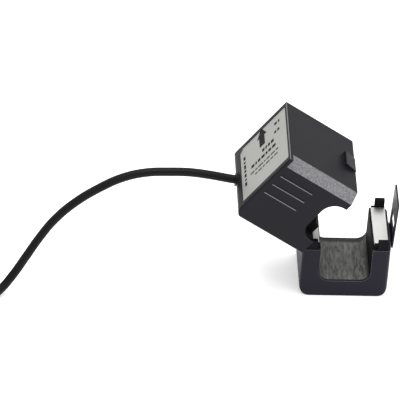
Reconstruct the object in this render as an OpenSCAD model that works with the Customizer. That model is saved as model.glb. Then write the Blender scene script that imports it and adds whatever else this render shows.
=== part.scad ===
// Split-core current transformer, standing on its hinged lid with the winding housing swung open.
// Millimetres. +X points from the hinge side to the catch side, +Y runs along the measured
// conductor, +Z is up. The origin is the centre of the lid's base.

/* [Body] */
// Width of the lid and the housing, from the hinge side to the catch side
body_w = 45; // [42:0.5:56]
// Angle between lid and housing when the hinge rests on its stop
open_angle = 55; // [40:1:70]

/* [Lid] */
// Depth of the lid along the conductor
lid_d = 34; // [33.6:0.2:40]
// Height of the lid up to its parting edge
lid_h = 30.4; // [28:0.2:36]
// Thickness of the lid's outer walls and floor
lid_wall = 1.3; // [1:0.1:1.4]
// Thickness of the lid's front and back walls
lid_end_wall = 1.4; // [1.1:0.1:1.4]
// Radius of the two lower edges that run along the conductor
lid_bottom_r = 5.5; // [3:0.5:7]
// Radius of the four upright edges
lid_edge_r = 2.4; // [1.5:0.1:3]

/* [Conductor window] */
// Width of each arm beside the window
arm_w = 9.3; // [9.3:0.1:10]
// Height of the window's floor above the base
window_floor = 9.8; // [9.6:0.2:12]
// Radius of the window's lower corners
window_r = 5.5; // [3:0.5:8]
// Thickness of the moulded liner round the window
liner_t = 0.8; // [0.6:0.1:0.8]
// Depth of the notch in the front and back walls of the housing
notch_h = 9.5; // [8:0.5:10]
// Radius of the upper corners of that notch
notch_r = 8; // [4:0.5:8]
// Width of the arch that seats on the conductor, at the parting plane
arch_w = 16.8; // [14:0.2:20]
// Height of the crown of that arch
arch_h = 5.6; // [4:0.2:7]

/* [Cut core] */
// Height of the front guide tabs above the pole faces
tab_front_up = 2.6; // [1:0.1:4]
// Height of the back guide tabs above the pole faces
tab_back_up = 4.4; // [1:0.1:4.6]
// Width of the guide tabs
tab_w = 5; // [3:0.2:5]
// Shift of the front tab on the hinge side, away from the hinge
tab_shift = 0.8; // [0:0.1:0.8]
// Build-up of the wound steel strip
core_t = 7; // [5:0.2:7]
// Width of the steel strip, along the conductor
core_d = 28; // [20:0.5:28]
// Inner bending radius of the strip
core_r = 2; // [1:0.5:2]
// Height by which the lid's pole faces stand above its parting edge
core_proud = 2.8; // [1.5:0.1:3]
// Gap between the pole faces when the housing is shut
pole_gap = 0.1; // [0.05:0.05:0.3]
// Height of the upper core's yoke above the parting plane
yoke_z = 20; // [19:0.5:22]

/* [Housing] */
// Depth of the housing along the conductor
housing_d = 45.8; // [45:0.2:52]
// Height of the housing above the parting plane
housing_h = 43.5; // [43:0.5:52]
// Thickness of the housing's side walls
housing_wall = 1; // [0.8:0.1:1]
// Thickness of the wall that carries the label
housing_top_wall = 2.4; // [2:0.2:3]
// Radius between the label face and the hinge side
housing_shoulder_r = 5; // [4:0.5:6]
// Radius of the other outer edges
housing_edge_r = 1.2; // [0.6:0.1:1.5]
// Width of the bevelled front edge, measured across the front
bevel_x = 5.2; // [3:0.2:6]
// Depth of the bevelled front edge, measured along the conductor
bevel_y = 4.4; // [3:0.2:6]
// Thickness of the full corner that is left above the bevel
bevel_lip = 1.9; // [1:0.1:3]
// Number of fine ribs on the front
rib_count = 3; // [1:1:4]
// Distance between the ribs
rib_pitch = 6.4; // [4:0.2:8]
// Length of the ribs
rib_l = 20.3; // [12:0.5:22]

/* [Label] */
// Depth of the recess that the label lies in
label_recess = 0.8; // [0.4:0.1:1]
// Thickness of the label plate
label_t = 0.5; // [0.2:0.1:0.6]
// Bare margin on the hinge side of the label
label_margin_hinge = 7.1; // [6.6:0.1:9]
// Bare margin on the catch side of the label
label_margin_catch = 1.4; // [1.2:0.1:3]
// Bare margin at the front and the back of the label
label_margin_end = 3.1; // [2:0.1:5]
// Size of the label's one cut corner
label_cut = 3; // [2:0.5:5]

/* [Hinge] */
// Distance of the hinge axis outside the lid's side wall
hinge_out = 3; // [2.8:0.1:4]
// Height of the hinge axis above the parting plane
hinge_up = 0.3; // [0.2:0.05:0.5]
// Radius of the hinge knuckles
knuckle_r = 2.3; // [2:0.1:2.4]
// Radius of the hinge pin
pin_r = 1; // [0.8:0.1:1.2]
// Length of the housing's middle knuckle
mid_knuckle_l = 10; // [8:0.5:12]
// Length of each knuckle on the lid
lid_knuckle_l = 6; // [4:0.5:7]

/* [Latch] */
// Width of the latch plate along the conductor
latch_w = 18; // [16:0.5:20]
// Height of the latch plate above the parting edge
latch_up = 21.4; // [18:0.2:24]
// Thickness of the latch plate
latch_t = 0.9; // [0.7:0.1:1.1]
// Space between the plate and the lid's wall when the plate stands upright
latch_off = 1.3; // [1.3:0.1:1.8]
// Outward lean of the plate when nothing presses on it
latch_lean = 2; // [2:0.5:4]
// Shift of the latch and the catch behind the middle of the lid
latch_shift = 2.5; // [0:0.5:2.5]
// Length of the catch along the conductor
catch_l = 10.4; // [8:0.2:12]
// Height of the catch's shoulder above the parting plane
catch_h = 7.4; // [6:0.2:8]
// Distance by which the catch's shoulder stands out from the housing
catch_out = 2; // [1.9:0.1:2.2]

/* [Winding] */
// Build-up of the secondary winding
winding_t = 4.8; // [3:0.2:5]
// Space between the bobbin's flanges and the bends of the core
bobbin_space = 0.2; // [0.2:0.1:3]
// Wall of the bobbin
bobbin_t = 0.8; // [0.6:0.1:0.8]

/* [Cable] */
// Outer diameter of the output cable
cable_d = 4.5; // [4:0.1:4.6]
// Shift of the cable's outlet behind the middle of the housing
cable_shift = 2.5; // [0:0.5:3]
// Angle of the cable's outlet, from square to the hinge side towards the label face
outlet_angle = 60; // [45:1:75]
// Diameter at the middle of the coiled cable
coil_mid_d = 50; // [46:1:54]
// Turns that lie side by side in the coil
coil_across = 3; // [2:1:3]
// Diameter of one insulated core
lead_d = 1.6; // [1.2:0.1:2]
// Length of the end ferrules
ferrule_l = 10; // [8:1:14]

/* [Hidden] */
$fn = 48;

eps = 0.01;
// Clearances: running gap of the pin, small gap between parts that are laid in, gap to moving parts
pin_clear = 0.05;
lay_clear = 0.05;
move_clear = 0.3;
shut_gap = 0.1;

half_w = body_w / 2;
window_w = body_w - 2 * arm_w;
pole_in = window_w / 2 + liner_t;
pole_out = pole_in + core_t;
hinge_x = -half_w - hinge_out;
hinge_z = lid_h + hinge_up;
hinge_above = hinge_up - shut_gap;
core_floor = window_floor - liner_t - core_t;

// ---------- shared shapes ----------

// Flat rectangle from (0, 0) with its corner radii in the order low left, low right, high right, high left
module cornered(w, h, r) {
    difference() {
        square([w, h]);
        for (i = [0:3])
            if (r[i] > 0) {
                right = i == 1 || i == 2;
                high = i > 1;
                translate([right ? w : 0, high ? h : 0])
                    scale([right ? -1 : 1, high ? -1 : 1])
                        difference() {
                            translate([-1, -1]) square(r[i] + 1);
                            translate([r[i], r[i]]) circle(r[i]);
                        }
            }
    }
}

// Front view in the X-Z plane, pulled along Y about the middle
module along_y(depth) {
    rotate([90, 0, 0]) translate([0, 0, -depth / 2]) linear_extrude(depth) children();
}

// Side view in the Y-Z plane, pulled along X about the middle
module along_x(length) {
    rotate([90, 0, 90]) translate([0, 0, -length / 2]) linear_extrude(length) children();
}

// Puts a housing part, drawn shut on the parting plane, into its open place
module swung_open() {
    translate([hinge_x, 0, hinge_z]) rotate([0, -open_angle, 0])
        translate([-hinge_x, 0, lid_h + shut_gap - hinge_z]) children();
}

// Round bar along Y at a place in the X-Z plane
module bar_y(r, y0, y1) {
    translate([0, y1, 0]) rotate([90, 0, 0]) cylinder(r = r, h = y1 - y0);
}

// ---------- lid ----------

lid_knuckle_y0 = mid_knuckle_l / 2 + move_clear;
lid_knuckle_y1 = lid_knuckle_y0 + lid_knuckle_l;
web_drop = 7;
heel_near = 0.8;
heel_far = 3.2;

module window_cut(grow, top) {
    w = window_w + 2 * grow;
    translate([-w / 2, window_floor - grow])
        cornered(w, top - window_floor + grow, [window_r + grow, window_r + grow, 0, 0]);
}

// Place on the stop face, at a distance along that face, measured from the hinge axis
function on_stop(along) = [(hinge_out - lay_clear) * cos(open_angle) - along * sin(open_angle),
                           (hinge_out - lay_clear) * sin(open_angle) + along * cos(open_angle)];

module lid_knuckle() {
    wall_x = hinge_out + lid_wall / 2;
    translate([hinge_x, 0, hinge_z]) along_y(lid_knuckle_l) {
        circle(knuckle_r);
        polygon([[-knuckle_r * cos(45), -knuckle_r * sin(45)], [wall_x, -web_drop],
                 [wall_x, -hinge_up], [0, -hinge_up]]);
        polygon([[0, 0], on_stop(heel_near), on_stop(heel_far), [-knuckle_r * 0.9, 0.8]]);
    }
}

module lid_shell() {
    color("#232326") difference() {
        union() {
            intersection() {
                along_y(lid_d)
                    translate([-half_w, 0]) cornered(body_w, lid_h, [lid_bottom_r, lid_bottom_r, 0, 0]);
                translate([-half_w, -lid_d / 2, 0]) linear_extrude(lid_h)
                    cornered(body_w, lid_d, lid_edge_r * [1, 1, 1, 1]);
            }
            for (s = [-1, 1])
                translate([0, s * (lid_knuckle_y0 + lid_knuckle_y1) / 2, 0]) lid_knuckle();
            latch_root();
        }
        along_y(lid_d - 2 * lid_end_wall)
            translate([-half_w + lid_wall, lid_wall])
                cornered(body_w - 2 * lid_wall, lid_h, (lid_bottom_r - lid_wall) * [1, 1, 0, 0]);
        along_y(lid_d + 2) window_cut(0, lid_h + 1);
        translate([hinge_x, 0, hinge_z]) bar_y(pin_r + pin_clear, -lid_d, lid_d);
    }
}

tab_y0 = core_d / 2 + move_clear;
tab_y1 = lid_d / 2 - 0.4;
tab_x1 = half_w - 1.7;
tab_top = core_proud + max(tab_front_up, tab_back_up);
liner_d = lid_d - 2 * lid_end_wall - 2 * lay_clear;
collar_y0 = core_d / 2 + lay_clear;
collar_drop = 8;

// Liner of the window, with a collar and guide tabs at both ends of each pole face
module lid_liner() {
    color("#3c3c3e") {
        along_y(liner_d) difference() {
            window_cut(liner_t - lay_clear, lid_h);
            window_cut(0, lid_h + 1);
        }
        for (sx = [-1, 1])
            for (sy = [-1, 1])
                scale([sx, sy, 1]) {
                    translate([window_w / 2, collar_y0, lid_h - collar_drop])
                        cube([half_w - lid_wall - lay_clear - window_w / 2, liner_d / 2 - collar_y0, collar_drop]);
                    translate([pole_in, collar_y0, lid_h - 1])
                        cube([core_t, liner_d / 2 - collar_y0, 1 + core_proud]);
                    translate([tab_x1 - tab_w - (sx < 0 && sy < 0 ? tab_shift : 0), tab_y0, lid_h])
                        cube([tab_w, tab_y1 - tab_y0, core_proud + (sy < 0 ? tab_front_up : tab_back_up)]);
                }
    }
}

// One half of the cut core, with its pole faces at a height and its yoke below or above them
module core_half(leg) {
    along_y(core_d) difference() {
        translate([-pole_out, 0])
            cornered(2 * pole_out, leg + core_t, [core_r + core_t, core_r + core_t, 0, 0]);
        translate([-pole_in, core_t])
            cornered(2 * pole_in, leg + 1, [core_r, core_r, 0, 0]);
    }
}

module lid_core() {
    color("#c9cacb") translate([0, 0, core_floor])
        core_half(lid_h + core_proud - core_floor - core_t);
}

spring_l = 30;
spring_w = 12;
spring_t = 0.3;

// Waved steel strip between the lid's floor and the core
module core_spring() {
    rise = core_floor - lid_wall - 2 * lay_clear - spring_t;
    bays = 6;
    bay = spring_l / bays;
    color("#b9bcc0") translate([0, 0, lid_wall + lay_clear]) along_y(spring_w)
        for (i = [0:bays - 1]) {
            z0 = i % 2 == 0 ? 0 : rise;
            z1 = rise - z0;
            translate([-spring_l / 2 + i * bay, 0])
                polygon([[0, z0], [bay, z1], [bay, z1 + spring_t], [0, z0 + spring_t]]);
        }
}

// ---------- latch ----------

latch_axis_z = lid_h - 5.5;
latch_axis_x = half_w + 1;
latch_foot = 1.9;
bead_r = 0.9;
slot_side = 0.8;
slot_low = 0.4;
slot_l = catch_l + 2 * slot_side;
slot_h = catch_h + 0.2 - slot_low;

// Socket on the lid's wall that the latch's bead turns in
module latch_root() {
    translate([0, latch_shift, latch_axis_z]) along_y(latch_w - 2) difference() {
        translate([half_w - lid_wall / 2, -1.6]) square([latch_axis_x - half_w + lid_wall / 2, 3.2]);
        translate([latch_axis_x, 0]) circle(bead_r + pin_clear);
    }
}

module latch_plate() {
    height = latch_up + lid_h - latch_axis_z;
    color("#3a3a3c")
        translate([latch_axis_x, latch_shift, latch_axis_z]) rotate([0, latch_lean, 0]) {
            bar_y(bead_r, -latch_w / 2 + 1, latch_w / 2 - 1);
            translate([latch_off - 1, 0, 0]) difference() {
                translate([0, 0, -latch_foot]) along_x_plate(latch_t, latch_w, height + latch_foot, 1.5);
                translate([-1, -slot_l / 2, lid_h - latch_axis_z + slot_low])
                    cube([latch_t + 2, slot_l, slot_h]);
            }
        }
}

// Upright plate with rounded upper corners, its inner face on X = 0
module along_x_plate(t, w, h, r) {
    translate([t / 2, 0, 0]) along_x(t) translate([-w / 2, 0]) cornered(w, h, [r, r, r, r]);
}

// ---------- housing ----------

inner_w = body_w - 2 * housing_wall;
inner_d = housing_d - 2 * housing_wall;
inner_h = housing_h - housing_top_wall;
outlet = [-half_w + housing_shoulder_r, cable_shift, housing_h - housing_shoulder_r];
rib_proud = 0.4;
rib_w = 0.5;
rib_top = 40.6;
rib_first = 10.9;

// Plan of the housing with its bevelled corner at the front of the catch side
module housing_plan(inset, bevel) {
    r = housing_edge_r;
    w = body_w - 2 * inset;
    d = housing_d - 2 * inset;
    difference() {
        translate([-w / 2, -d / 2]) cornered(w, d, [r, 0, 0.8, r]);
        if (bevel) {
            shift = inset * 0.45;
            translate([half_w - inset, -housing_d / 2 + inset])
                polygon([[-bevel_x + shift, -1], [-bevel_x + shift, 0], [0, bevel_y - shift], [1, bevel_y - shift],
                         [1, -1]]);
        }
    }
}

module housing_body() {
    intersection() {
        along_y(housing_d + 4) translate([-half_w, 0])
            cornered(body_w, housing_h, [0, 0, housing_edge_r, housing_shoulder_r]);
        along_x(body_w + 4) translate([-housing_d / 2, 0])
            cornered(housing_d, housing_h, [0, 0, housing_edge_r, housing_edge_r]);
        union() {
            linear_extrude(housing_h - bevel_lip) housing_plan(0, true);
            translate([0, 0, housing_h - bevel_lip]) linear_extrude(bevel_lip) housing_plan(0, false);
        }
    }
}

module label_outline(inset) {
    w = body_w - label_margin_hinge - label_margin_catch - 2 * inset;
    d = housing_d - 2 * label_margin_end - 2 * inset;
    translate([-half_w + label_margin_hinge + inset, -d / 2]) difference() {
        cornered(w, d, [0.8, 0.8, 0.8, 0]);
        translate([0, d]) polygon([[-1, 1], [label_cut, 1], [label_cut, 0], [0, -label_cut], [-1, -label_cut]]);
    }
}

module housing_knuckle() {
    translate([hinge_x, 0, hinge_above]) along_y(mid_knuckle_l) {
        circle(knuckle_r);
        polygon([[-knuckle_r * cos(45), knuckle_r * sin(45)], [hinge_out + housing_wall / 2, web_drop],
                 [hinge_out + housing_wall / 2, 0], [0, 0]]);
    }
}

catch_toe = 0.7;

module housing_catch() {
    translate([half_w - eps, latch_shift, 0]) along_y(catch_l)
        polygon([[-0.5, 0.2], [catch_toe, 0.2], [catch_out, catch_h - 1], [catch_out, catch_h], [-0.5, catch_h]]);
}

// Points the local +Z axis out of the cable's outlet, from the middle of the shoulder's radius
module at_outlet() {
    translate(outlet) rotate([0, outlet_angle - 90, 0]) children();
}

grommet_r = cable_d / 2 + 0.9;
grommet_lip = 0.5;

module housing_shell() {
    color("#2b2b2e") swung_open() difference() {
        union() {
            housing_body();
            housing_knuckle();
            housing_catch();
            for (i = [0:rib_count - 1])
                translate([rib_first - i * rib_pitch - rib_w / 2, -housing_d / 2 - rib_proud, rib_top - rib_l])
                    cube([rib_w, rib_proud + 0.5, rib_l]);
        }
        intersection() {
            translate([0, 0, -1]) linear_extrude(inner_h + 1) housing_plan(housing_wall, true);
            along_y(inner_d) translate([-inner_w / 2, -1])
                cornered(inner_w, inner_h + 1, [0, 0, 0, housing_shoulder_r - housing_wall]);
        }
        translate([0, 0, -1]) along_y(housing_d + 4) translate([-window_w / 2, 0])
            cornered(window_w, notch_h + 1, [0, 0, notch_r, notch_r]);
        translate([0, 0, housing_h - label_recess]) linear_extrude(label_recess + 1) label_outline(0);
        translate([hinge_x, 0, hinge_above]) bar_y(pin_r + pin_clear, -housing_d, housing_d);
        at_outlet() translate([0, 0, -2]) cylinder(r = grommet_r + lay_clear, h = housing_shoulder_r + 4);
    }
}

module rating_label() {
    color("#d5d8cf") swung_open()
        translate([0, 0, housing_h - label_recess]) linear_extrude(label_t) label_outline(0.15);
}

insert_t = 0.7;
insert_in = window_w / 2 - 0.4;
insert_out = insert_in + insert_t;
insert_d = inner_d - 2 * lay_clear;
arch_d = 31;
floor_t = 1.4;
guide_t = 0.7;
guide_l = 2.4;
guide_z = tab_top + move_clear;

// Outline of the window channel, grown by a wall
module channel(grow) {
    translate([-insert_in - grow, 0])
        cornered(2 * (insert_in + grow), notch_h + grow, [0, 0, notch_r + grow, notch_r + grow]);
}

// Inner moulding: window channel, arch over the conductor, floor plates and core guides
module housing_insert() {
    top = notch_h + insert_t;
    arch_r = (arch_w * arch_w / 4 + arch_h * arch_h) / (2 * arch_h);
    arch_z = arch_h - arch_r;
    color("#353537") swung_open() {
        along_y(insert_d) difference() {
            channel(insert_t);
            channel(0);
        }
        along_y(arch_d) difference() {
            channel(insert_t / 2);
            translate([0, arch_z]) circle(arch_r);
        }
        intersection() {
            linear_extrude(floor_t) housing_plan(housing_wall + lay_clear, true);
            for (sx = [-1, 1])
                for (sy = [-1, 1])
                    scale([sx, sy, 1])
                        translate([insert_in, tab_y1 + move_clear, 0])
                            cube([body_w, housing_d, floor_t]);
        }
        for (s = [-1, 1])
            translate([0, s * (core_d + guide_t + 2 * lay_clear) / 2, 0]) along_y(guide_t) difference() {
                translate([-insert_in - guide_l, guide_z]) square([2 * (insert_in + guide_l), top - guide_z]);
                channel(0);
            }
    }
}

module upper_core() {
    color("#c9cacb") swung_open()
        translate([0, 0, yoke_z + core_t]) scale([1, 1, -1])
            core_half(yoke_z - core_proud - pole_gap + shut_gap);
}

// Ring round the yoke in the Y-Z plane: its hole is grown from the steel by one amount, its outside by another
module yoke_ring(hole, outside, r) {
    difference() {
        translate([-core_d / 2 - outside, yoke_z - outside])
            cornered(core_d + 2 * outside, core_t + 2 * outside, r * [1, 1, 1, 1]);
        translate([-core_d / 2 - hole, yoke_z - hole]) square([core_d + 2 * hole, core_t + 2 * hole]);
    }
}

flange_t = 0.8;
flange_over = 0.5;
winding_l = 2 * (pole_in - core_r - bobbin_space - flange_t);

module bobbin() {
    along_x(winding_l + 2 * flange_t) yoke_ring(lay_clear, bobbin_t, 0.6);
    for (s = [-1, 1])
        translate([s * (winding_l + flange_t) / 2, 0, 0])
            along_x(flange_t) yoke_ring(lay_clear, bobbin_t + winding_t + flange_over, 2);
}

module bobbin_half(side) {
    split_z = yoke_z + core_t / 2;
    color("#e7e2d2") swung_open() intersection() {
        bobbin();
        translate([-half_w, -housing_d / 2, side > 0 ? split_z : 0])
            cube([body_w, housing_d, side > 0 ? housing_h - split_z : split_z]);
    }
}

module bobbin_upper() { bobbin_half(1); }
module bobbin_lower() { bobbin_half(-1); }

tape_t = 0.2;

module secondary_winding() {
    color("#b4602c") swung_open()
        along_x(winding_l - 2 * lay_clear)
            yoke_ring(bobbin_t + lay_clear, bobbin_t + winding_t - tape_t - lay_clear, 2.5);
}

module winding_tape() {
    color("#e3c53d") swung_open()
        along_x(winding_l - 2 * lay_clear) difference() {
            yoke_ring(bobbin_t, bobbin_t + winding_t, 2.7);
            translate([-core_d / 2 - bobbin_t - winding_t + tape_t, yoke_z - bobbin_t - winding_t + tape_t])
                cornered(core_d + 2 * (bobbin_t + winding_t - tape_t), core_t + 2 * (bobbin_t + winding_t - tape_t),
                         2.5 * [1, 1, 1, 1]);
        }
}

// ---------- leads inside the housing ----------

lead_y = 1.3;
lead_x = outlet[0] + 8.5;
lead_run = 4.8;
winding_top = yoke_z + core_t + bobbin_t + winding_t;
lead_z = winding_top + 2.4;
cable_inset = 4.2;
sleeve_l = 3;
sleeve_wall = 0.4;

// Enamelled lead that rises from the winding and turns towards the cable
module winding_lead(s) {
    rise = lead_z - winding_top;
    color("#b4602c") swung_open() translate([lead_x, cable_shift + s * lead_y, 0]) {
        translate([0, 0, winding_top]) cylinder(r = lead_d / 2, h = rise, $fn = 24);
        translate([0, 0, lead_z]) sphere(r = lead_d / 2, $fn = 24);
        translate([0, 0, lead_z]) rotate([0, -90, 0]) cylinder(r = lead_d / 2, h = lead_run, $fn = 24);
    }
}

module winding_lead_s1() { winding_lead(-1); }
module winding_lead_s2() { winding_lead(1); }

module splice_sleeve(s) {
    color("#1b1b1b") swung_open() translate([lead_x - 0.9, cable_shift + s * lead_y, lead_z]) rotate([0, -90, 0])
        difference() {
            cylinder(r = lead_d / 2 + sleeve_wall, h = sleeve_l, $fn = 24);
            translate([0, 0, -1]) cylinder(r = lead_d / 2 + 0.03, h = sleeve_l + 2, $fn = 24);
        }
}

module splice_sleeve_s1() { splice_sleeve(-1); }
module splice_sleeve_s2() { splice_sleeve(1); }

clamp_l = 2.4;
clamp_wall = 1.2;

// Crimped collar inside the wall that keeps the cable from being pulled out
module cable_clamp() {
    color("#c9cacb") swung_open() at_outlet()
        translate([0, 0, -clamp_l - 0.6]) difference() {
            cylinder(r = cable_d / 2 + clamp_wall, h = clamp_l);
            translate([0, 0, -1]) cylinder(r = cable_d / 2 + 0.03, h = clamp_l + 2);
        }
}

module cable_grommet() {
    color("#1d1d1f") swung_open() at_outlet() difference() {
        union() {
            cylinder(r = grommet_r, h = housing_shoulder_r + grommet_lip);
            translate([0, 0, housing_shoulder_r - 0.05]) cylinder(r = grommet_r + 0.5, h = grommet_lip + 0.05);
            translate([0, 0, -0.4]) cylinder(r = grommet_r + 0.5, h = 1.2);
        }
        translate([0, 0, -1]) cylinder(r = cable_d / 2 + 0.03, h = housing_shoulder_r + 4);
    }
}

pin_head_t = 0.7;

module hinge_pin() {
    reach = lid_knuckle_y1 + 0.15;
    color("#c4c7ca") translate([hinge_x, 0, hinge_z]) {
        bar_y(pin_r, -reach, reach);
        for (s = [-1, 1]) scale([1, s, 1]) bar_y(pin_r + 0.6, reach, reach + pin_head_t);
    }
}

// ---------- output cable ----------

// Places of a housing point in the open position
function opened(p) = [hinge_x + (p[0] - hinge_x) * cos(open_angle) - (p[2] - hinge_above) * sin(open_angle), p[1],
                      hinge_z + (p[0] - hinge_x) * sin(open_angle) + (p[2] - hinge_above) * cos(open_angle)];
function outlet_point(s) = opened([outlet[0] - s * cos(outlet_angle), outlet[1], outlet[2] + s * sin(outlet_angle)]);

// Route of the cable from the outlet down to the floor beside the coil
cable_route = [[-69, 2.5, 61.9], [-80, 2.5, 63.6], [-91.5, 2.3, 63.9], [-103, 1.9, 63.4], [-114.6, 0.8, 60.7],
               [-125.9, -1.2, 55.5], [-138.8, -4.8, 47.9], [-148.5, -7.7, 39], [-155.8, -10.5, 29.2],
               [-162.5, -13.8, 18.8], [-168.6, -17.4, 10], [-174.3, -21.5, 4.4], [-180.8, -27.2, 2.5],
               [-187.3, -33.6, 2.3]];

sides = 10;
function unit(v) = v / norm(v);
function heading(p, i) = unit(p[min(i + 1, len(p) - 1)] - p[max(i - 1, 0)]);
function ring(c, t, r, n, side) = let (a = unit(cross(t, side)), b = cross(t, a))
    [for (k = [0:n - 1]) c + r * (cos(360 * k / n) * a + sin(360 * k / n) * b)];

// Tube along a route; the third value is a direction that the route never points in
module tube(p, d, side, n) {
    count = len(p);
    corners = [for (i = [0:count - 1]) for (q = ring(p[i], heading(p, i), d / 2, n, side)) q];
    walls = [for (i = [0:count - 2]) for (k = [0:n - 1])
                [i * n + k, i * n + (k + 1) % n, (i + 1) * n + (k + 1) % n, (i + 1) * n + k]];
    polyhedron(corners, concat(walls, [[for (k = [n - 1:-1:0]) k], [for (k = [0:n - 1]) (count - 1) * n + k]]));
}

module output_cable() {
    color("#1d1d1f")
        tube(concat([outlet_point(-cable_inset), outlet_point(0), outlet_point(housing_shoulder_r + 1)], cable_route),
             cable_d, [0.1, 1, 0.05], sides);
}

coil_x = -211;
coil_y = -9;
coil_h = cable_d * 1.87;

// Three turns on the floor with two more in the grooves above them
module cable_coil() {
    w = coil_across * cable_d;
    color("#1d1d1f") translate([coil_x, coil_y, 0]) rotate_extrude($fn = 64)
        translate([coil_mid_d / 2 - w / 2, 0]) polygon([[0.8, 0], [w - 0.8, 0], [w, 1.2], [w, 3.4],
            [w - cable_d / 2 + 0.6, coil_h], [cable_d / 2 - 0.6, coil_h], [0, 3.4], [0, 1.2]]);
}

// Point above the coil at an angle, a radius and a height
function on_coil(angle, r, z) = [coil_x + r * cos(angle), coil_y + r * sin(angle), z];

tail_r = coil_mid_d / 2 + (coil_across > 1 ? 2.25 : 0);
tail_z = coil_h + cable_d / 2 + lay_clear;
tail_start = 20;
tail_stop = -100;
tail_step = 10;

// End of the cable, lying on the coil
module cable_tail() {
    color("#1d1d1f")
        tube([for (a = [tail_start:-tail_step:tail_stop]) on_coil(a, tail_r, tail_z)], cable_d, [0, 0, 1], sides);
}

tie_w = 3;
tie_t = 1;

module coil_tie() {
    w = coil_across * cable_d + 0.2;
    h = coil_h + 0.1;
    color("#ececea") translate([coil_x - tie_w / 2, coil_y + coil_mid_d / 2, 0]) difference() {
        translate([0, -w / 2 - tie_t, 0]) cube([tie_w, w + 2 * tie_t, h + tie_t]);
        translate([-1, -w / 2, -1]) cube([tie_w + 2, w, h + 1]);
    }
}

lead_low = coil_h + 0.95;

// The two cores leave the sheath side by side and spread on the coil: angle passed, distance inwards,
// half of the spread, height
function core_route(s) = [for (q = [[0.4, 0, 0.9, tail_z], [8, 0.05, 0.95, tail_z - 0.1], [20, 0.25, 1.4, tail_z - 0.8],
                                    [30, 0.5, 1.8, lead_low + 0.1], [42, 0.75, 2, lead_low], [54, 0.75, 2, lead_low]])
    on_coil(tail_stop - q[0], tail_r - q[1] + s * q[2], q[3])];

module core_wire(s) {
    color(s < 0 ? "#e9e9e6" : "#8a8a8c") tube(core_route(s), lead_d, [0, 0, 1], 8);
}

module core_wire_s1() { core_wire(-1); }
module core_wire_s2() { core_wire(1); }

module ferrule(s) {
    last = core_route(s)[5];
    course = heading(core_route(s), 5);
    color("#c9cacb") translate(last + 0.05 * course)
        rotate([0, 90, atan2(course[1], course[0])]) cylinder(r = 0.9, h = ferrule_l, $fn = 24);
}

module ferrule_s1() { ferrule(-1); }
module ferrule_s2() { ferrule(1); }

housing_shell();
housing_insert();
rating_label();
upper_core();
bobbin_upper();
bobbin_lower();
secondary_winding();
winding_tape();
winding_lead_s1();
winding_lead_s2();
splice_sleeve_s1();
splice_sleeve_s2();
cable_clamp();
cable_grommet();
hinge_pin();
output_cable();
cable_coil();
cable_tail();
coil_tie();
core_wire_s1();
core_wire_s2();
ferrule_s1();
ferrule_s2();
lid_shell();
lid_liner();
lid_core();
core_spring();
latch_plate();
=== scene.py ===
import math

import bpy
from mathutils import Matrix, Vector


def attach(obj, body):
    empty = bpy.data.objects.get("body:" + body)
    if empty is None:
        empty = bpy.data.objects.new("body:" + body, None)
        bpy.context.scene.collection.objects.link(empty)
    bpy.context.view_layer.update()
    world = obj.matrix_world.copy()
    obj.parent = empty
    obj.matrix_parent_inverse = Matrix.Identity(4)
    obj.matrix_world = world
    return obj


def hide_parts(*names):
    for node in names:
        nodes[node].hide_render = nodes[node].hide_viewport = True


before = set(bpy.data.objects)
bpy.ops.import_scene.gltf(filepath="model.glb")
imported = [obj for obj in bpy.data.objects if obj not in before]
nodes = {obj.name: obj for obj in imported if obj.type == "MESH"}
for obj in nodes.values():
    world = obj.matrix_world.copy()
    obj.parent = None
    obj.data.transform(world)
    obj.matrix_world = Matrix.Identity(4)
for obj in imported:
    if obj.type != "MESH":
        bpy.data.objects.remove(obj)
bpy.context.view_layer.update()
bpy.ops.object.select_all(action="DESELECT")


# Camera: a long lens from a little left of the front, forty degrees above the table, held with
# a slight roll. It stands off the target by a shift to the left and up, and by its distance.
AZIMUTH, ELEVATION, ROLL = math.radians(-4.764), math.radians(40.119), math.radians(4.224)
STAND_OFF = Vector((-0.072962, 0.026402, 2.2574))
target = Vector((0.0, 0.0, 0.015))
facing = (Matrix.Rotation(AZIMUTH, 4, "Z") @ Matrix.Rotation(math.pi / 2.0 - ELEVATION, 4, "X")
          @ Matrix.Rotation(ROLL, 4, "Z"))
camera_data = bpy.data.cameras.new("camera")
camera_data.sensor_width = 36.0
camera_data.lens = 397.27
camera_data.clip_start = 0.1
camera_data.clip_end = 20.0
camera = bpy.data.objects.new("camera", camera_data)
camera.matrix_world = Matrix.Translation(target) @ facing @ Matrix.Translation(STAND_OFF)
bpy.context.scene.collection.objects.link(camera)
bpy.context.scene.camera = camera


# Output cable: a round two-core lead with a black jacket. It leaves the shoulder of the housing,
# arches down to the table and is wound clockwise into five turns, three on the table and two in
# the grooves above them, with its end laid on top.
CABLE_D = 0.0045
OPEN = math.radians(55.0)
HINGE_X, HINGE_Z, HINGE_RISE = -0.0255, 0.0307, 0.0002
SWUNG = (Matrix.Translation(Vector((HINGE_X, 0.0, HINGE_Z))) @ Matrix.Rotation(-OPEN, 4, "Y")
         @ Matrix.Translation(Vector((-HINGE_X, 0.0, -HINGE_RISE))))
OUTLET = Vector((-0.0175, 0.0025, 0.0385))
OUTLET_TILT = math.radians(60.0)


def outlet_point(s):
    """A point on the outlet's axis, at a distance in metres outwards from the shoulder's centre."""
    return SWUNG @ (OUTLET + s * Vector((-math.cos(OUTLET_TILT), 0.0, math.sin(OUTLET_TILT))))


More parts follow.
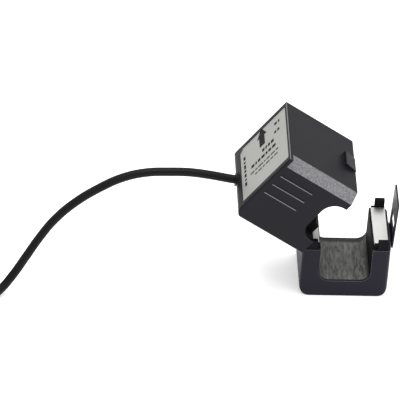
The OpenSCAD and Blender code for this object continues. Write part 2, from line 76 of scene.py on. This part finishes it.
free_run = [outlet_point(-0.0042), outlet_point(0.0), outlet_point(0.006)]
free_run += [Vector(p) / 1000.0 for p in (
    (-69, 2.5, 61.9), (-80, 2.5, 63.6), (-91.5, 2.3, 63.9), (-103, 1.9, 63.4), (-114.6, 0.8, 60.7),
    (-125.9, -1.2, 55.5), (-138.8, -4.8, 47.9), (-148.5, -7.7, 39), (-155.8, -10.5, 29.2),
    (-162.5, -13.8, 18.8), (-168.6, -17.4, 10), (-174.3, -21.5, 4.4), (-180.8, -27.2, 2.5),
    (-187.3, -33.6, 2.3))]
COIL = Vector((-0.211, -0.009, 0.0))
POINTS_PER_TURN = 18
ON_TABLE, ON_TURNS, ON_TOP = 0.0023, 0.0062, 0.0107


def coil_arc(a0, a1, r0, r1, z0, z1):
    """Points from one angle to another round the coil, eased from one radius and height to the next."""
    count = max(2, round(abs(a1 - a0) / 360.0 * POINTS_PER_TURN))
    points = []
    for i in range(1, count + 1):
        t = i / count
        e = t * t * (3.0 - 2.0 * t)
        a = math.radians(a0 + (a1 - a0) * t)
        r = r0 + (r1 - r0) * e
        points.append(COIL + Vector((r * math.cos(a), r * math.sin(a), z0 + (z1 - z0) * e)))
    return points


wound = []
for a0, a1, r0, r1, z0, z1 in (
        (-46, -136, 0.0341, 0.0295, ON_TABLE, ON_TABLE),
        (-136, -406, 0.0295, 0.0295, ON_TABLE, ON_TABLE),
        (-406, -476, 0.0295, 0.0250, ON_TABLE, ON_TABLE),
        (-476, -766, 0.0250, 0.0250, ON_TABLE, ON_TABLE),
        (-766, -836, 0.0250, 0.0205, ON_TABLE, ON_TABLE),
        (-836, -1070, 0.0205, 0.0205, ON_TABLE, ON_TABLE),
        (-1070, -1115, 0.0205, 0.0205, ON_TABLE, ON_TURNS),
        (-1115, -1145, 0.0205, 0.02275, ON_TURNS, ON_TURNS),
        (-1145, -1380, 0.02275, 0.02275, ON_TURNS, ON_TURNS),
        (-1380, -1455, 0.02275, 0.02725, ON_TURNS, ON_TURNS),
        (-1455, -1715, 0.02725, 0.02725, ON_TURNS, ON_TURNS),
        (-1715, -1780, 0.02725, 0.02725, ON_TURNS, ON_TOP),
        (-1780, -1900, 0.02725, 0.02725, ON_TOP, ON_TOP)):
    wound += coil_arc(a0, a1, r0, r1, z0, z1)

curve = bpy.data.curves.new("output_lead", "CURVE")
curve.dimensions = "3D"
curve.bevel_depth = CABLE_D / 2.0
curve.bevel_resolution = 6
curve.resolution_u = 5
curve.use_fill_caps = True
spline = curve.splines.new("BEZIER")
spline.bezier_points.add(len(free_run + wound) - 1)
for point, place in zip(spline.bezier_points, free_run + wound):
    point.co = place
    point.handle_left_type = point.handle_right_type = "AUTO"
lead = bpy.data.objects.new("output_lead", curve)
bpy.context.scene.collection.objects.link(lead)


def fine_grain():
    """Node group: an even colour made slightly uneven, its roughness and a fine grain."""
    if "fine_grain" in bpy.data.node_groups:
        return bpy.data.node_groups["fine_grain"]
    group = bpy.data.node_groups.new("fine_grain", "ShaderNodeTree")
    face = group.interface
    face.new_socket(name="Color", in_out="INPUT", socket_type="NodeSocketColor")
    for name, value in (("Cloud Scale", 60.0), ("Cloud Amount", 0.25), ("Grain Scale", 3000.0),
                        ("Grain Height", 0.1), ("Roughness", 0.5), ("Roughness Spread", 0.1)):
        face.new_socket(name=name, in_out="INPUT", socket_type="NodeSocketFloat").default_value = value
    face.new_socket(name="Color", in_out="OUTPUT", socket_type="NodeSocketColor")
    face.new_socket(name="Roughness", in_out="OUTPUT", socket_type="NodeSocketFloat")
    face.new_socket(name="Normal", in_out="OUTPUT", socket_type="NodeSocketVector")
    add, link = group.nodes.new, group.links.new
    inside, outside = add("NodeGroupInput"), add("NodeGroupOutput")
    place = add("ShaderNodeTexCoord")
    cloud = add("ShaderNodeTexNoise")
    cloud.inputs["Detail"].default_value = 3.0
    link(place.outputs["Object"], cloud.inputs["Vector"])
    link(inside.outputs["Cloud Scale"], cloud.inputs["Scale"])
    grain = add("ShaderNodeTexNoise")
    grain.inputs["Detail"].default_value = 2.0
    link(place.outputs["Object"], grain.inputs["Vector"])
    link(inside.outputs["Grain Scale"], grain.inputs["Scale"])
    centred = add("ShaderNodeMath")
    centred.operation = "SUBTRACT"
    centred.inputs[1].default_value = 0.5
    link(cloud.outputs["Fac"], centred.inputs[0])
    scaled = add("ShaderNodeMath")
    scaled.operation = "MULTIPLY_ADD"
    scaled.inputs[2].default_value = 1.0
    link(centred.outputs[0], scaled.inputs[0])
    link(inside.outputs["Cloud Amount"], scaled.inputs[1])
    tone = add("ShaderNodeVectorMath")
    tone.operation = "SCALE"
    link(inside.outputs["Color"], tone.inputs[0])
    link(scaled.outputs[0], tone.inputs["Scale"])
    link(tone.outputs["Vector"], outside.inputs["Color"])
    rough = add("ShaderNodeMath")
    rough.operation = "MULTIPLY_ADD"
    link(centred.outputs[0], rough.inputs[0])
    link(inside.outputs["Roughness Spread"], rough.inputs[1])
    link(inside.outputs["Roughness"], rough.inputs[2])
    link(rough.outputs[0], outside.inputs["Roughness"])
    bump = add("ShaderNodeBump")
    bump.inputs["Distance"].default_value = 0.0002
    link(inside.outputs["Grain Height"], bump.inputs["Strength"])
    link(grain.outputs["Fac"], bump.inputs["Height"])
    link(bump.outputs["Normal"], outside.inputs["Normal"])
    return group


def grained(name, color, roughness, cloud=0.25, grain=0.1, metallic=0.0, specular=0.5, cloud_scale=60.0,
            grain_scale=3000.0, spread=0.1):
    """A material whose base colour, roughness and normal come from the fine grain."""
    material = bpy.data.materials.new(name)
    material.use_nodes = True
    tree = material.node_tree
    shader = tree.nodes["Principled BSDF"]
    effect = tree.nodes.new("ShaderNodeGroup")
    effect.name = "grain"
    effect.node_tree = fine_grain()
    effect.inputs["Color"].default_value = (*color, 1.0)
    effect.inputs["Roughness"].default_value = roughness
    effect.inputs["Roughness Spread"].default_value = spread
    effect.inputs["Cloud Amount"].default_value = cloud
    effect.inputs["Cloud Scale"].default_value = cloud_scale
    effect.inputs["Grain Height"].default_value = grain
    effect.inputs["Grain Scale"].default_value = grain_scale
    tree.links.new(effect.outputs["Color"], shader.inputs["Base Color"])
    tree.links.new(effect.outputs["Roughness"], shader.inputs["Roughness"])
    tree.links.new(effect.outputs["Normal"], shader.inputs["Normal"])
    shader.inputs["Metallic"].default_value = metallic
    shader.inputs["Specular IOR Level"].default_value = specular
    return material


def finish_node(node, material):
    """Gives a CAD node one material on all its faces."""
    nodes[node].data.materials.clear()
    nodes[node].data.materials.append(material)


jacket = grained("cable_jacket", (0.0050, 0.0050, 0.0054), 0.42, cloud=0.2, grain=0.1, specular=0.12)
lead.data.materials.append(jacket)
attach(lead, "housing")
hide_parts("output_cable", "cable_coil", "cable_tail")
finish_node("cable_grommet", jacket)


# Free end: two insulated cores in crimped ferrules, and the nylon tie round the coil.
finish_node("core_wire_s1", grained("white_insulation", (0.70, 0.70, 0.67), 0.35))
finish_node("core_wire_s2", grained("grey_insulation", (0.10, 0.10, 0.11), 0.35))
plated = grained("zinc_plated_steel", (0.60, 0.61, 0.62), 0.28, metallic=1.0)
for node in ("ferrule_s1", "ferrule_s2", "cable_clamp", "hinge_pin", "core_spring"):
    finish_node(node, plated)
finish_node("coil_tie", grained("nylon", (0.75, 0.75, 0.72), 0.4))


# Housing: one black moulding with a fine grain. Its edges are broken by a small radius and three fine
# ribs stand on its front. The bevel on its front corner, the broken edges, the corners by the label
# and the hinge and the ribs' faces are painted paler as highlights.
def rounded_moulding(node, name, body, radius, materials):
    """A copy of a CAD node with its edges broken, which stands for the node."""
    mesh = nodes[node].data.copy()
    mesh.name = name
    piece = bpy.data.objects.new(name, mesh)
    bpy.context.scene.collection.objects.link(piece)
    mesh.materials.clear()
    for material in materials:
        mesh.materials.append(material)
    bpy.ops.object.select_all(action="DESELECT")
    bpy.context.view_layer.objects.active = piece
    piece.select_set(True)
    bpy.ops.object.mode_set(mode="EDIT")
    bpy.ops.mesh.select_all(action="SELECT")
    bpy.ops.mesh.remove_doubles(threshold=0.000005)
    bpy.ops.mesh.dissolve_limited(angle_limit=math.radians(1.0))
    bpy.ops.object.mode_set(mode="OBJECT")
    for face in mesh.polygons:
        face.material_index = 0
    bevel = piece.modifiers.new("broken_edges", "BEVEL")
    bevel.width = radius
    bevel.segments = 2
    bevel.limit_method = "ANGLE"
    bevel.angle_limit = math.radians(28.0)
    bevel.use_clamp_overlap = True
    # The broken edges take the last material, which on the housing and the lid is a painted highlight.
    bevel.material = len(materials) - 1
    bpy.ops.object.modifier_apply(modifier="broken_edges")
    bpy.ops.object.shade_smooth_by_angle(angle=math.radians(35.0))
    flats = piece.modifiers.new("level_flats", "WEIGHTED_NORMAL")
    flats.weight = 100
    flats.keep_sharp = True
    bpy.ops.object.modifier_apply(modifier="level_flats")
    bpy.ops.object.select_all(action="DESELECT")
    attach(piece, body)
    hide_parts(node)
    return piece


housing_black = grained("housing_black", (0.0093, 0.0089, 0.0121), 0.44, cloud=0.15, grain=0.22, specular=0.1)
# Painted highlight on the front bevel, speckled like the light's reflection in its grain.
bevel_painted_highlight = grained("bevel_painted_highlight", (0.135, 0.135, 0.145), 0.42, cloud=2.2, grain=0.6, specular=0.5,
                       cloud_scale=1100.0)
# Painted highlight on the ribs' faces.
rib_painted_highlight = grained("rib_painted_highlight", (0.13, 0.13, 0.15), 0.4, cloud=0.5, grain=0.2, specular=0.4)
# Painted highlight along the broken edges and the corners by the label and the hinge.
edge_painted_highlight = grained("edge_painted_highlight", (0.120, 0.120, 0.125), 0.38, cloud=0.9, grain=0.1, specular=0.5,
                    cloud_scale=150.0)
shell = rounded_moulding("housing_shell", "housing_moulding", "housing", 0.00025,
                         [housing_black, bevel_painted_highlight, rib_painted_highlight, edge_painted_highlight])
HALF_WIDTH, FRONT, CROWN = 0.0225, -0.0229, 0.0435
CORNER_DEPTH = 0.0015
BEVEL_NORMAL = Vector((0.646, -0.763, 0.0)).normalized()
shut = SWUNG.inverted()
# Faces along the front bevel take its painted highlight and the ribs' faces take theirs. Faces at the corners
# by the label and the hinge take the edges' painted highlight.
for face in shell.data.polygons:
    place, normal = shut @ face.center, shut.to_3x3() @ face.normal
    by_label = place.x > HALF_WIDTH - CORNER_DEPTH and place.z > CROWN - CORNER_DEPTH
    by_hinge = place.x < CORNER_DEPTH - HALF_WIDTH and abs(normal.z) < 0.1
    if normal.dot(BEVEL_NORMAL) > 0.995:
        face.material_index = 1
    elif place.y < FRONT - 0.0001 and normal.y < -0.4:
        face.material_index = 2
    elif by_label and min(normal.x, normal.z) > 0.5 or by_hinge and min(-normal.x, -normal.y) > 0.5:
        face.material_index = 3


# Inner moulding of the housing: the window's channel, the arch and the core guides, in a smoother
# and darker black plastic.
channel_black = grained("channel_black", (0.0038, 0.0038, 0.0042), 0.6, cloud=0.3, grain=0.15, specular=0.02)
rounded_moulding("housing_insert", "window_moulding", "housing", 0.00015, [channel_black])


# Label: a satin grey foil laid in the recess, with a plain arrow for the current's direction and
# rows of blank marks in place of words.
label_foil = grained("label_foil", (0.275, 0.279, 0.262), 0.42, cloud=0.08, grain=0.05, specular=0.3)
finish_node("rating_label", label_foil)
ink = grained("label_ink", (0.007, 0.007, 0.007), 0.5, cloud=0.1, grain=0.05, specular=0.05)
LABEL_X, LABEL_Y, LABEL_Z = -0.0154, 0.0198, 0.04322
marks = []


def ink_bar(x, y, length, depth):
    """A printed bar: its middle, in millimetres from the label's corner by hinge and back, and its size."""
    bpy.ops.mesh.primitive_plane_add(size=1.0, location=(LABEL_X + x / 1000.0, LABEL_Y - y / 1000.0, LABEL_Z))
    bar = bpy.context.object
    bar.scale = (length / 1000.0, depth / 1000.0, 1.0)
    marks.append(bar)


for row_x, row_y, depth, dashes in (
        (8.0, 20.5, 2.0, (2.4, 1.2, 2.0, 2.6, 1.4, 2.2, 2.8)),
        (7.0, 25.0, 1.0, (3.0, 1.6, 3.8, 1.2, 2.6, 3.2, 1.8)),
        (10.5, 28.0, 0.9, (1.8, 2.8, 1.4, 3.0, 2.2, 2.6)),
        (17.0, 16.0, 2.2, (1.8, 1.2, 1.6, 2.2)),
        (27.0, 11.5, 1.8, (1.6, 1.6)),
        (27.5, 5.5, 1.8, (2.0, 1.2))):
    x = row_x
    for dash in dashes:
        ink_bar(x + dash / 2.0, row_y, dash, depth)
        x += dash + 0.8
for i, dash in enumerate((2.6, 1.4, 3.0, 1.8, 2.4, 1.2, 2.8)):
    ink_bar(3.2, 9.0 + i * 3.3, 1.5, dash)
ink_bar(17.4, 8.4, 4.2, 7.6)
bpy.ops.mesh.primitive_circle_add(vertices=3, radius=0.0044, fill_type="NGON",
                                  location=(LABEL_X + 0.0174, LABEL_Y - 0.0030, LABEL_Z))
marks.append(bpy.context.object)
bpy.ops.object.select_all(action="DESELECT")
for mark in marks:
    mark.select_set(True)
bpy.context.view_layer.objects.active = marks[0]
bpy.ops.object.join()
label_print = bpy.context.object
label_print.name = label_print.data.name = "label_print"
bpy.ops.object.transform_apply(location=True, rotation=True, scale=True)
thickness = label_print.modifiers.new("ink_film", "SOLIDIFY")
thickness.thickness = 0.00002
thickness.offset = 1.0
bpy.ops.object.modifier_apply(modifier="ink_film")
label_print.data.transform(SWUNG)
label_print.data.materials.clear()
label_print.data.materials.append(ink)
bpy.ops.object.select_all(action="DESELECT")
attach(label_print, "housing")


# Lid: the U-shaped black moulding that the hinge and the latch are on, its broken edges painted paler as a
# highlight.
lid_black = grained("lid_black", (0.0110, 0.0100, 0.0170), 0.44, cloud=0.15, grain=0.22, specular=0.1)
rounded_moulding("lid_shell", "lid_moulding", "lid", 0.00025, [lid_black, edge_painted_highlight])


# Liner of the lid's window, with its collars and guide tabs. The window's floor is scuffed grey,
# in streaks that run with the conductor, and darkened towards its sides and its back as painted shade.
inner_black = grained("inner_black", (0.0085, 0.0085, 0.0090), 0.6, cloud=0.3, grain=0.15, specular=0.02)
liner = rounded_moulding("lid_liner", "liner_moulding", "lid", 0.0002, [inner_black])
scuffs_and_shade = grained("floor_scuffs_and_painted_shade", (0.085, 0.085, 0.082), 0.5, cloud=0.5, grain=0.2, specular=0.3)
tree = scuffs_and_shade.node_tree
place = tree.nodes.new("ShaderNodeTexCoord")
stretch = tree.nodes.new("ShaderNodeMapping")
stretch.inputs["Scale"].default_value = (1.0, 0.25, 1.0)
streaks = tree.nodes.new("ShaderNodeTexNoise")
streaks.inputs["Scale"].default_value = 700.0
streaks.inputs["Detail"].default_value = 4.0
streaks.inputs["Distortion"].default_value = 0.6
tones = tree.nodes.new("ShaderNodeValToRGB")
tones.color_ramp.elements[0].position = 0.34
tones.color_ramp.elements[0].color = (0.038, 0.038, 0.037, 1.0)
tones.color_ramp.elements[1].position = 0.66
tones.color_ramp.elements[1].color = (0.145, 0.145, 0.138, 1.0)
tree.links.new(place.outputs["Object"], stretch.inputs["Vector"])
tree.links.new(stretch.outputs["Vector"], streaks.inputs["Vector"])
tree.links.new(streaks.outputs["Fac"], tones.inputs["Fac"])
axes = tree.nodes.new("ShaderNodeSeparateXYZ")
tree.links.new(place.outputs["Object"], axes.inputs["Vector"])
sideways = tree.nodes.new("ShaderNodeMath")
sideways.operation = "ABSOLUTE"
tree.links.new(axes.outputs["X"], sideways.inputs[0])
painted_wall_shade = []
# Painted shade: the floor's colour fades darker towards the walls at its sides and its back.
for source, start, stop, least in ((sideways.outputs[0], 0.0108, 0.0128, 0.15),
                                   (axes.outputs["Y"], 0.0126, 0.0146, 0.10)):
    shade_fade = tree.nodes.new("ShaderNodeMapRange")
    shade_fade.interpolation_type = "SMOOTHSTEP"
    shade_fade.inputs["From Min"].default_value = start
    shade_fade.inputs["From Max"].default_value = stop
    shade_fade.inputs["To Min"].default_value = 1.0
    shade_fade.inputs["To Max"].default_value = least
    tree.links.new(source, shade_fade.inputs["Value"])
    painted_wall_shade.append(shade_fade)
both = tree.nodes.new("ShaderNodeMath")
both.operation = "MULTIPLY"
tree.links.new(painted_wall_shade[0].outputs["Result"], both.inputs[0])
tree.links.new(painted_wall_shade[1].outputs["Result"], both.inputs[1])
streaks_in_painted_shade = tree.nodes.new("ShaderNodeVectorMath")
streaks_in_painted_shade.operation = "SCALE"
tree.links.new(tones.outputs["Color"], streaks_in_painted_shade.inputs[0])
tree.links.new(both.outputs[0], streaks_in_painted_shade.inputs["Scale"])
tree.links.new(streaks_in_painted_shade.outputs["Vector"], tree.nodes["grain"].inputs["Color"])
liner.data.materials.append(scuffs_and_shade)
WINDOW_FLOOR, CORNER_RISE, HALF_WINDOW = 0.0098, 0.0042, 0.0132
for face in liner.data.polygons:
    in_floor = face.center.z < WINDOW_FLOOR + CORNER_RISE and abs(face.center.x) < HALF_WINDOW
    if in_floor and face.normal.z > 0.35:
        face.material_index = 1


# Cut core: steel strip wound and ground off, so that its pole faces are bright, with the strip's
# edges as fine lines.
steel = grained("core_steel", (0.86, 0.86, 0.84), 0.36, cloud=0.06, grain=0.06, metallic=1.0)
tree = steel.node_tree
place = tree.nodes.new("ShaderNodeTexCoord")
strip = tree.nodes.new("ShaderNodeTexWave")
strip.wave_type = "BANDS"
strip.bands_direction = "X"
strip.inputs["Scale"].default_value = 620.0
strip.inputs["Distortion"].default_value = 0.6
strip.inputs["Detail"].default_value = 1.0
tones = tree.nodes.new("ShaderNodeValToRGB")
tones.color_ramp.elements[0].position = 0.05
tones.color_ramp.elements[0].color = (0.56, 0.56, 0.54, 1.0)
tones.color_ramp.elements[1].position = 0.45
tones.color_ramp.elements[1].color = (0.80, 0.80, 0.78, 1.0)
tree.links.new(place.outputs["Object"], strip.inputs["Vector"])
tree.links.new(strip.outputs["Fac"], tones.inputs["Fac"])
tree.links.new(tones.outputs["Color"], tree.nodes["grain"].inputs["Color"])
finish_node("lid_core", steel)
finish_node("upper_core", steel)


# Latch: a thin slotted plate, moulded smooth, that leans out a little and turns at its root.
latch_black = grained("latch_black", (0.014, 0.014, 0.015), 0.40, cloud=0.3, grain=0.15, specular=0.16)
rounded_moulding("latch_plate", "latch_moulding", "latch", 0.0002, [latch_black])


# Winding on the yoke inside the housing: enamelled copper on a nylon bobbin in two halves, yellow
# tape over it, and its two leads in sleeves.
copper = grained("enamelled_copper", (0.42, 0.15, 0.05), 0.3, metallic=0.6)
for node in ("secondary_winding", "winding_lead_s1", "winding_lead_s2"):
    finish_node(node, copper)
finish_node("winding_tape", grained("polyester_tape", (0.60, 0.45, 0.08), 0.3))
bobbin_white = grained("bobbin_nylon", (0.62, 0.58, 0.46), 0.5)
finish_node("bobbin_upper", bobbin_white)
finish_node("bobbin_lower", bobbin_white)
sleeve_black = grained("heat_shrink", (0.012, 0.012, 0.012), 0.5)
finish_node("splice_sleeve_s1", sleeve_black)
finish_node("splice_sleeve_s2", sleeve_black)


# Table: a plain pale floor under soft studio light.
bpy.ops.mesh.primitive_plane_add(size=12.0, location=(0.0, 0.0, -0.0001))
floor = bpy.context.object
floor.name = "studio_floor"
floor_paint = bpy.data.materials.new("floor_paint")
floor_paint.use_nodes = True
paint = floor_paint.node_tree.nodes["Principled BSDF"]
paint.inputs["Base Color"].default_value = (0.92, 0.92, 0.92, 1.0)
paint.inputs["Roughness"].default_value = 0.9
paint.inputs["Emission Color"].default_value = (1.0, 1.0, 1.0, 1.0)
paint.inputs["Emission Strength"].default_value = 0.33
floor.data.materials.append(floor_paint)

world = bpy.data.worlds.new("studio")
world.use_nodes = True
sky = world.node_tree.nodes["Background"]
sky.inputs["Color"].default_value = (1.0, 1.0, 1.0, 1.0)
sky.inputs["Strength"].default_value = 0.95
bpy.context.scene.world = world


def soft_light(name, place, aim, size, power):
    """A square soft box at a place, turned towards a point."""
    data = bpy.data.lights.new(name, "AREA")
    data.shape = "SQUARE"
    data.size = size
    data.energy = power
    light = bpy.data.objects.new(name, data)
    light.location = place
    light.rotation_euler = (Vector(aim) - Vector(place)).to_track_quat("-Z", "Y").to_euler()
    bpy.context.scene.collection.objects.link(light)


soft_light("top_box", (0.0, 0.1, 1.4), (0.0, 0.0, 0.03), 1.2, 14.0)
soft_light("right_box", (1.17, -0.98, 0.55), (0.0, 0.0, 0.05), 0.6, 4.0)
bpy.context.scene.view_settings.view_transform = "Standard"
